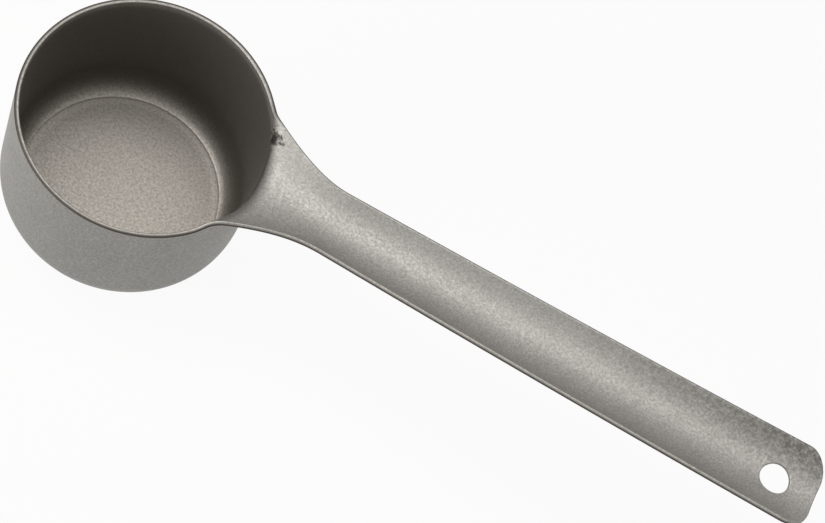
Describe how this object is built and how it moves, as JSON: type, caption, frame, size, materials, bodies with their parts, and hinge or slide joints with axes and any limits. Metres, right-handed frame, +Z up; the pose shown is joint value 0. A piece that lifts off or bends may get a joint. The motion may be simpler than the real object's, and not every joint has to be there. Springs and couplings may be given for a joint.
{
  "type": "measuring spoon",
  "caption": "Deep round straight-walled measuring scoop pressed from one sheet of steel, with a long trough-shaped handle and a hang hole.",
  "frame": {"origin": "middle of the flat face that the cup stands on", "axes": "+X along the handle, +Z up along the cup's axis"},
  "size_m": [0.1368, 0.04, 0.0323],
  "materials": {
    "steel": "tumbled soft grey stainless steel, as pressed and deburred"
  },
  "bodies": {
    "root": {"cup": "steel", "handle": "steel"}
  },
  "joints": []
}
